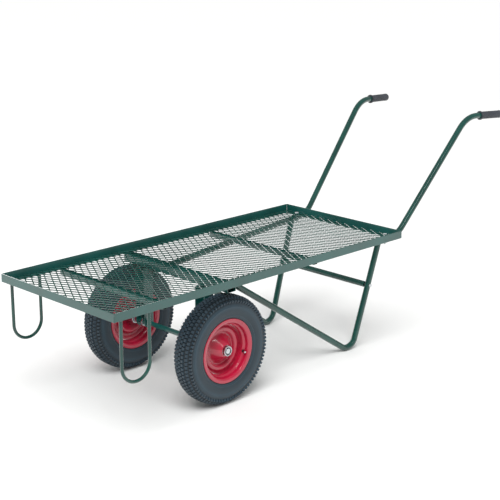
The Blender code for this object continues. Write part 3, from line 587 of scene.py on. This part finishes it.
# %% Tyre carcass
def painted_shade_by_radius(finish, axis, bands):
    """Darken a finish with painted shade by distance from the wheel's axis: bands are (millimetres, hex)
    pairs.
    """
    tree = finish.node_tree
    base = tree.nodes["Principled BSDF"].inputs["Base Color"]
    plain = base.links[0].from_socket
    place = add_node(tree, "ShaderNodeTexCoord").outputs["Object"]
    flat = add_node(tree, "ShaderNodeMapping", {"Vector": place},
                    Location=(-axis.x, 0, -axis.z), Scale=(1, 0, 1))
    distance = add_node(tree, "ShaderNodeVectorMath", {0: flat.outputs["Vector"]}, operation="LENGTH")
    first, last = bands[0][0], bands[-1][0]
    along = add_node(tree, "ShaderNodeMapRange", {"Value": distance.outputs["Value"]},
                     From_Min=first * MM, From_Max=last * MM)
    stops = [((radius - first) / (last - first), colour) for radius, colour in bands]
    shade = ramp(tree, along.outputs["Result"], stops)
    mixed = add_node(tree, "ShaderNodeMix", {6: plain, 7: shade}, data_type="RGBA", blend_type="MULTIPLY")
    mixed.inputs[0].default_value = 1.0
    tree.links.new(mixed.outputs[2], base)
    return finish


CARCASS_OUTSIDE = [
    (195.6, 0), (195.3, 10), (193.8, 20), (190.2, 28), (184.5, 33.5), (176.0, 38.0), (170.0, 40.4),
    (163.6, 42.0), (163.2, 42.8), (161.6, 43.0), (161.2, 42.4), (150.0, 42.9), (140.0, 42.0),
    (130.5, 39.6), (129.8, 40.4), (127.6, 39.9), (127.0, 38.6), (122.5, 37.4), (119.6, 36.4),
    (118.9, 34.6), (112.0, 34.2), (103.0, 34.2),
]
CARCASS_INSIDE = [
    (103.0, 22.0), (110.0, 22.5), (125.0, 31.0), (150.0, 36.5), (172.0, 32.5), (188.0, 16.0), (189.5, 0),
]


def carcass(name, middle):
    outside = mirrored(eased(CARCASS_OUTSIDE, 1)[::-1])
    inside = mirrored(CARCASS_INSIDE)
    return lathe(name, outside + inside[::-1] + outside[:1], middle, steps=120)


# %% [markdown]
# ## Tread
# Five rows of small blocks run round the crown and a row of lugs stands on each shoulder.
# One block is shaped from a cube by drawing in its top face, and Spin with its copy setting
# repeats it round the wheel. Neighbouring rows are half a pitch apart, as on the real mould.

# %% Tread blocks
TREAD_PITCHES = 84
BLOCK_TOP_LENGTH, BLOCK_TOP_WIDTH = 0.86, 0.88   # a block's top over its foot
# each row: place along the axle, radius of the block's middle, lean about the wheel's
# circumference in degrees, width, depth and length in millimetres, and half-pitch shift
TREAD_ROWS = (
    (0.0, 195.7, 0, 10.4, 8.0, 11.4, 0.0), (-12.2, 194.9, 6, 11.6, 8.0, 11.4, 0.5),
    (12.2, 194.9, -6, 11.6, 8.0, 11.4, 0.5), (-24.4, 190.2, 26, 11.6, 8.4, 10.8, 0.0),
    (24.4, 190.2, -26, 11.6, 8.4, 10.8, 0.0), (-35.3, 176.8, 61, 20.5, 8.0, 8.0, 0.5),
    (35.3, 176.8, -61, 20.5, 8.0, 8.0, 0.5),
)


def tread(name, middle):
    deselect()
    bpy.ops.mesh.primitive_cube_add(size=1)
    piece = named_primitive(name)
    bpy.ops.mesh.delete(type="VERT")
    for along, radius, lean, width, depth, length, shift in TREAD_ROWS:
        bpy.ops.mesh.select_all(action="DESELECT")
        bpy.ops.mesh.primitive_cube_add(size=1, scale=(length * MM, width * MM, depth * MM))
        mesh = bmesh.from_edit_mesh(piece.data)
        fresh = [vert for vert in mesh.verts if vert.select]
        for vert in fresh:
            if vert.co.z > 0:
                vert.co.x *= BLOCK_TOP_LENGTH
                vert.co.y *= BLOCK_TOP_WIDTH
        bmesh.update_edit_mesh(piece.data)
        bpy.ops.transform.rotate(value=math.radians(lean), orient_axis="X", center_override=(0, 0, 0))
        bpy.ops.transform.translate(value=(0, along * MM, radius * MM))
        turn = 2 * math.pi * shift / TREAD_PITCHES
        bpy.ops.transform.rotate(value=turn, orient_axis="Y", center_override=(0, 0, 0))
        bpy.ops.mesh.spin(steps=TREAD_PITCHES, angle=2 * math.pi, dupli=True,
                          center=(0, 0, 0), axis=(0, 1, 0))
    bpy.ops.mesh.select_all(action="SELECT")
    bpy.ops.transform.translate(value=middle)
    close_edit()
    smooth(piece, 20)
    return piece


# painted shade: the side wall is darkened in its moulded grooves, at the bead and among the shoulder lugs,
# and left paler on the open wall between them
SIDE_WALL_PAINTED_SHADE = [(118, "#8c8c8c"), (124, "#dcdcdc"), (131, "#e6e6e6"), (133, "#c4c4c4"), (152, "#d6d6d6"),
                   (160, "#ffffff"), (168, "#e6e6e6"), (176, "#8f8f8f"), (198, "#8a8a8a")]
carcass_rubber = painted_shade_by_radius(rubber("bloomed_side_wall_rubber_with_painted_shade", "#2f4652", "#253a47", 0.55, 420.0, 0.1),
                        WHEEL_MIDDLE["left"], SIDE_WALL_PAINTED_SHADE)
for name, _ in SIDES:
    body, middle = f"{name}_wheel", WHEEL_MIDDLE[name]
    dress(carcass(f"tyre_{name}_carcass", middle), carcass_rubber, body, [f"tyre_{name}"])
    dress(tread(f"tyre_{name}_tread", middle), tyre_rubber, body, ())

# %% [markdown]
# ## Rim and centre disc
# The rim is rolled from strip: a flange on each side, a seat for each bead and a well between
# them. The disc is pressed from one blank, with a raised ring, a bowl and a dome that rises
# to the hub. Both are one thickness of sheet, so each section is one line and Solidify gives
# it body.

# %% Rim and disc
RIM_LINE = [
    (116.9, 36.2), (117.0, 36.9), (115.6, 37.0), (109.0, 36.4), (103.6, 34.6), (101.2, 30.0), (100.9, 22.0),
    (99.0, 18.5), (94.6, 15.5), (92.9, 12.0), (92.8, 0),
]
DISC_LINE = [
    (91.2, -3.0), (86.0, -3.0), (81.5, -0.8), (77.5, 2.9), (71.0, 3.3), (66.0, 2.4), (62.3, -3.5),
    (60.0, -8.6), (56.0, -9.2), (51.0, -7.0), (44.0, 0.2), (36.0, 9.8), (28.0, 19.4), (22.5, 25.4),
    (19.7, 27.2),
]
SHEET = 2.3 * MM


for name, side in SIDES:
    body, middle = f"{name}_wheel", WHEEL_MIDDLE[name]
    rim = lathe(f"rim_{name}_rolled", eased(mirrored(RIM_LINE), 2), middle, steps=96, wall=SHEET, angle=50)
    dress(rim, red_enamel, body, [f"rim_{name}"])
    disc_line = eased([(radius, side * along) for radius, along in DISC_LINE], 2)
    disc = lathe(f"disc_{name}_pressed", disc_line, middle, steps=96, wall=SHEET, angle=50)
    dress(disc, red_enamel, body, [f"wheel_disc_{name}"])

# %% [markdown]
# ## Hub, bearings and axle end
# The hub is a short zinc-plated tube. A sealed ball bearing is pressed a little below each end:
# a steel outer race, a dark seal and a steel inner race.

# %% Hub and bearings
RACE_OUTER = [(12.9, 0.3), (13.2, 0), (14.6, 0), (14.7, 0.2), (14.7, 11.8), (14.6, 12), (13.2, 12),
              (12.9, 11.7), (12.9, 0.3)]
RACE_INNER = [(10.3, 0.2), (10.4, 0), (11.6, 0), (11.8, 0.3), (11.8, 11.7), (11.6, 12), (10.4, 12),
              (10.3, 11.8), (10.3, 0.2)]
SEAL = [(11.85, 0.5), (12.3, 0.9), (12.85, 0.6), (12.85, 11.4), (12.3, 11.1), (11.85, 11.5), (11.85, 0.5)]
BEARING_FACE = 34.5


for name, side in SIDES:
    body, middle = f"{name}_wheel", WHEEL_MIDDLE[name]
    hub_line = [(15.1, 37.4), (15.7, 38.0), (17.7, 38.0), (18.5, 37.2), (18.5, -37.2), (17.7, -38.0),
                (15.7, -38.0), (15.1, -37.4), (15.1, 37.4)]
    dress(lathe(f"hub_{name}_tube", hub_line, middle, steps=48), zinc, body, [f"hub_{name}"])
    for place, way in (("outer", side), ("inner", -side)):
        face = middle + Vector((0, way * BEARING_FACE * MM, 0))
        label = f"{name}_{place}"
        races = [lathe(f"bearing_{label}_{part}", [(r, -way * y) for r, y in section], face, steps=48)
                 for part, section in (("outer_race", RACE_OUTER), ("inner_race", RACE_INNER))]
        seal = lathe(f"bearing_{label}_seal", [(r, -way * y) for r, y in SEAL], face, steps=48)
        dress(seal, seal_rubber, body, [f"bearing_{label}"])
        for race in races:
            dress(race, zinc, body, ())

# %% [markdown]
# ## Axle, spacers, collars and clips
# The axle is a bright-drawn bar painted with the frame, and from each spacer outwards it is
# bare zinc plate. A plain turned spacer keeps each wheel away from its hanger, a lock collar
# stands between each hanger's cheeks, and a spring clip sits in a groove at each end.

# %% Axle and its rings
axle_low, axle_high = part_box("axle")
axle_middle = (axle_low + axle_high) / 2
clip = {name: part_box(f"axle_circlip_{name}") for name, _ in SIDES}
half_axle = (axle_high.y - axle_low.y) / 2 / MM
groove = [(clip["right"][0].y - GAP / 2) / MM, (clip["right"][1].y + GAP / 2) / MM]
spacer_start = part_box("axle_spacer_right")[0].y / MM
BAR, GROOVE_FLOOR, BAR_CHAMFER, RING_BORE = 10, 9.4, 0.8, 10.3
axle_half = [
    (0, half_axle), (BAR - BAR_CHAMFER, half_axle), (BAR, half_axle - BAR_CHAMFER), (BAR, groove[1]),
    (GROOVE_FLOOR, groove[1]), (GROOVE_FLOOR, groove[0]), (BAR, groove[0]), (BAR, spacer_start), (BAR, 0),
]
axle = lathe("axle_bar", mirrored(axle_half), axle_middle, steps=40)
dress(axle, green_enamel, "chassis", ["axle"])
axle.data.materials.append(zinc)
for face in axle.data.polygons:
    face.material_index = 1 if abs(face.center.y) > spacer_start * MM else 0


def ring_section(inner, outer, length, chamfer):
    """Section of a ring with four chamfered corners, closed on its first point."""
    half = length / 2
    end = [(inner, half - chamfer), (inner + chamfer, half), (outer - chamfer, half), (outer, half - chamfer)]
    return mirrored(end) + end[:1]


def plain_ring(node, name, inner, chamfer, finish):
    low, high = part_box(node)
    section = ring_section(inner, (high.z - low.z) / 2 / MM, (high.y - low.y) / MM, chamfer)
    dress(lathe(name, section, (low + high) / 2, steps=40), finish, "chassis", [node])


for name, _ in SIDES:
    plain_ring(f"axle_spacer_{name}", f"spacer_{name}", RING_BORE, 0.5, zinc)
    plain_ring(f"axle_collar_{name}", f"lock_collar_{name}", RING_BORE, 0.8, zinc)
    plain_ring(f"axle_circlip_{name}", f"clip_{name}", 9.7, 0.2, spring_steel)

# %% [markdown]
# ## Valve
# The valve is a rubber-covered stem with a shoulder where it comes out of the rim, and
# a metal dust cap. It is bent outwards, so that a pump reaches it past the disc.

# %% Valve
VALVE_ANGLE, VALVE_LEAN = math.radians(-17), 2.25
VALVE_ROOT, VALVE_OFFSET = 103 * MM, 3 * MM
STEM = [(0, 2.0), (3.9, 2.0), (3.9, 13.0), (5.6, 16.0), (5.6, 18.0), (4.1, 20.5), (3.7, 24.0), (3.0, 25.0),
        (3.0, 28.5), (0, 28.5)]
CAP = [(0, 27.6), (3.3, 27.6), (3.9, 28.3), (3.9, 34.6), (3.2, 36.0), (0, 36.2)]
for name, side in SIDES:
    spoke = Vector((math.cos(VALVE_ANGLE), 0, math.sin(VALVE_ANGLE)))
    root = WHEEL_MIDDLE[name] + spoke * VALVE_ROOT + Vector((0, side * VALVE_OFFSET, 0))
    way = (Vector((0, side * VALVE_LEAN, 0)) - spoke).normalized()
    body = f"{name}_wheel"
    stem = lathe(f"valve_{name}_stem", STEM, root, way, steps=24)
    dress(stem, tube_rubber, body, [f"valve_stem_{name}"])
    dress(lathe(f"valve_{name}_cap", CAP, root, way, steps=24), zinc, body, [f"valve_cap_{name}"])

# %% [markdown]
# ## Grips
# Each grip is a moulded rubber sleeve pushed over the tube, with a flared collar that stops
# the thumb, fine rings for the fingers and a closed, slightly swollen end.

# %% Grips
GRIP_RINGS, RING_PITCH, RING_HEIGHT = 22, 4.4, 0.7


def grip_section():
    """Half section in millimetres, from the collar to the closed end and back inside."""
    body, bore = 14.6, 12.3
    ridge = body + RING_HEIGHT
    section = [(bore, 0), (18.0, 0), (18.6, 0.8), (18.6, 3.4), (18.0, 4.4), (15.4, 7.0), (body, 9.0)]
    for ring in range(GRIP_RINGS):
        start = 12.0 + ring * RING_PITCH
        section += [(body, start), (ridge, start + 0.5), (ridge, start + 2.3), (body, start + 2.8)]
    section += [(15.0, 112.0), (15.9, 117.0), (15.9, 123.0), (15.0, 126.4), (12.0, 128.0), (0, 128.0)]
    return section + [(0, 124.0), (bore, 124.0), (bore, 0)]


for name, side in SIDES:
    points, way = handle_corners(side)
    start = points[-1] + way * GRIP_START
    grip = lathe(f"grip_{name}", grip_section(), start, way, steps=40, angle=40)
    dress(grip, grip_rubber, "chassis", [f"handle_grip_{name}"])

# %% [markdown]
# ## Bolts, nuts and hidden pieces
# The bolts keep their shape from the frame, with the chamfer that a forged head has. Pieces
# that are hidden inside others only need their true material.

# %% Bolts, nuts and the pieces inside
for name, _ in SIDES:
    for node in (f"handle_bolt_{name}", f"handle_nut_{name}", f"crossbar_bolt_{name}"):
        dress(softened(node, f"{node}_plated", 0.5 * MM), bolt_zinc, "chassis", [node])
    for node, finish in ((f"inner_tube_{name}", tube_rubber), (f"crossbar_plug_{name}", zinc)):
        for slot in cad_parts[node].material_slots:
            slot.material = finish

# %% [markdown]
# ## Weld beads
# The frame is welded, and a bead of metal fills the corner wherever a tube or bar meets its
# neighbour. A circle is laid round the joint, and where a leg meets a handle each of its
# points is slid onto the seam. The circle
# becomes a curve with a round bevel, whose points swell and shrink like the ripples that the
# torch leaves, and the curve becomes a mesh.


# %% Weld beads
RIPPLE_POINTS, RIPPLE_SWELL = 4, 0.13
# each bead's half thickness, and how far its middle stands off the tube or bar it circles
LOOP_BEAD, LEG_BEAD, HANDLE_BEAD = 1.7 * MM, 1.9 * MM, 2.2 * MM
LOOP_OUT, LEG_OUT, HANDLE_OUT = 0.6 * MM, 0.4 * MM, 0.5 * MM
LOOP_DROP, SEAM_OUT, HANDLE_BACK = 0.8 * MM, 0.9 * MM, 1.5 * MM


def weld(name, place, heading, radius, thickness, seam=None):
    """A rippled bead round a joint. The seam, if any, moves each of the circle's points."""
    stand = Vector((0, 0, 1)).rotation_difference(heading).to_euler()
    deselect()
    bpy.ops.mesh.primitive_circle_add(vertices=64, radius=radius, location=place, rotation=stand)
    piece = named_primitive(name)
    if seam:
        mesh = bmesh.from_edit_mesh(piece.data)
        for vert in mesh.verts:
            vert.co = seam(vert.co)
        bmesh.update_edit_mesh(piece.data)
    bpy.ops.object.mode_set(mode="OBJECT")
    bpy.ops.object.convert(target="CURVE")
    bead = bpy.context.object
    bead.data.bevel_depth, bead.data.bevel_resolution = thickness, 2
    for step, point in enumerate(bead.data.splines[0].points):
        point.radius = 1 + RIPPLE_SWELL * math.sin(2 * math.pi * step / RIPPLE_POINTS)
    bpy.ops.object.convert(target="MESH")
    smooth(bead, 60)
    return dress(bead, green_enamel, "chassis", ())


UP, AHEAD = Vector((0, 0, 1)), Vector((1, 0, 0))
for name, side in SIDES:
    low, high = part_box(f"front_loop_{name}")
    for place, x in (("front", low.x + LOOP_RADIUS), ("rear", high.x - LOOP_RADIUS)):
        foot = Vector((x, (low.y + high.y) / 2, high.z - LOOP_DROP))
        weld(f"weld_loop_{name}_{place}", foot, UP, LOOP_RADIUS + LOOP_OUT, LOOP_BEAD)
    leg_top, knee, strut_top = leg_corners(side)
    for place, end in (("leg", leg_top), ("strut", strut_top)):
        heading = (end - knee).normalized()
        weld(f"weld_{place}_{name}", end, heading, TUBE_RADIUS + LEG_OUT, LEG_BEAD,
             seam=lambda point: slid_to_handle(point, heading, side, TUBE_RADIUS + SEAM_OUT))
    foot = handle_corners(side)[0][0] + AHEAD * HANDLE_BACK
    weld(f"weld_handle_{name}", foot, AHEAD, TUBE_RADIUS + HANDLE_OUT, HANDLE_BEAD)

# %% [markdown]
# ## Floor, light and camera
# A pale floor under broad, soft overhead light, as in a product studio. The floor is the
# brightest thing in the room, so gloss paint turns pale wherever it mirrors the floor and
# stays deep where it mirrors the dimmer surround.

# %% Stage
deselect()
bpy.ops.mesh.primitive_plane_add(size=60, location=(0, 0, -0.2 * MM))
floor = bpy.context.object
floor.name = "studio_floor"
bpy.ops.object.transform_apply(location=True, rotation=True, scale=True)
floor_finish, _, floor_shader = new_finish("matt_studio_paper", Roughness=0.9)
floor_shader.inputs["Base Color"].default_value = linear("#f4f4f3")
floor.data.materials.append(floor_finish)

world = bpy.data.worlds.new("white_surround")
bpy.context.scene.world = world
world.use_nodes = True
surround = world.node_tree.nodes["Background"]
surround.inputs["Color"].default_value = (1, 1, 1, 1)
surround.inputs["Strength"].default_value = 0.38


def add_lamp(name, kind, energy, aim, up="Y", place=(0, 0, 0)):
    """A lamp at a place, turned along its aim."""
    light = bpy.data.lights.new(name, kind)
    light.energy = energy
    lamp = bpy.data.objects.new(name, light)
    bpy.context.scene.collection.objects.link(lamp)
    lamp.location = place
    lamp.rotation_euler = Vector(aim).to_track_quat("-Z", up).to_euler()
    return lamp, light


# the ceiling gives the even light, and is hidden from gloss so that no paint mirrors its glare
ceiling, ceiling_light = add_lamp("overhead_panels", "SUN", 2.9, (0.50, 0.35, -1.0))
ceiling_light.angle = math.radians(40)
ceiling.visible_glossy = False

# a narrow strip high at the front draws the fine line of light along each tube
_, strip_light = add_lamp("strip_panel", "AREA", 20, (1.4, 3.4, -3.2), place=(-1.4, -3.4, 3.6))
strip_light.shape = "RECTANGLE"
strip_light.size, strip_light.size_y = 0.25, 2.2

# a low panel beyond the far side catches the tilted faces of the deck's strands
far_panel, far_light = add_lamp("far_panel", "AREA", 32, (-0.126, -0.977, -0.18), "Z", (0.15, 3.6, 1.1))
far_light.shape = "RECTANGLE"
far_light.size, far_light.size_y = 3.6, 0.9
far_panel.visible_camera = False

CAMERA_PITCH, CAMERA_HEADING = math.radians(15.934), math.radians(44.734)
camera_data = bpy.data.cameras.new("studio_camera")
camera_data.lens, camera_data.sensor_width, camera_data.clip_end = 93.7, 36.0, 200.0
camera = bpy.data.objects.new("studio_camera", camera_data)
bpy.context.scene.collection.objects.link(camera)
camera.location = (DECK_X - 3.1771, -3.4028, 1.8004)
camera.rotation_euler = (math.pi / 2 - CAMERA_PITCH, 0, -CAMERA_HEADING)
bpy.context.scene.camera = camera
bpy.context.scene.view_settings.view_transform = "Standard"
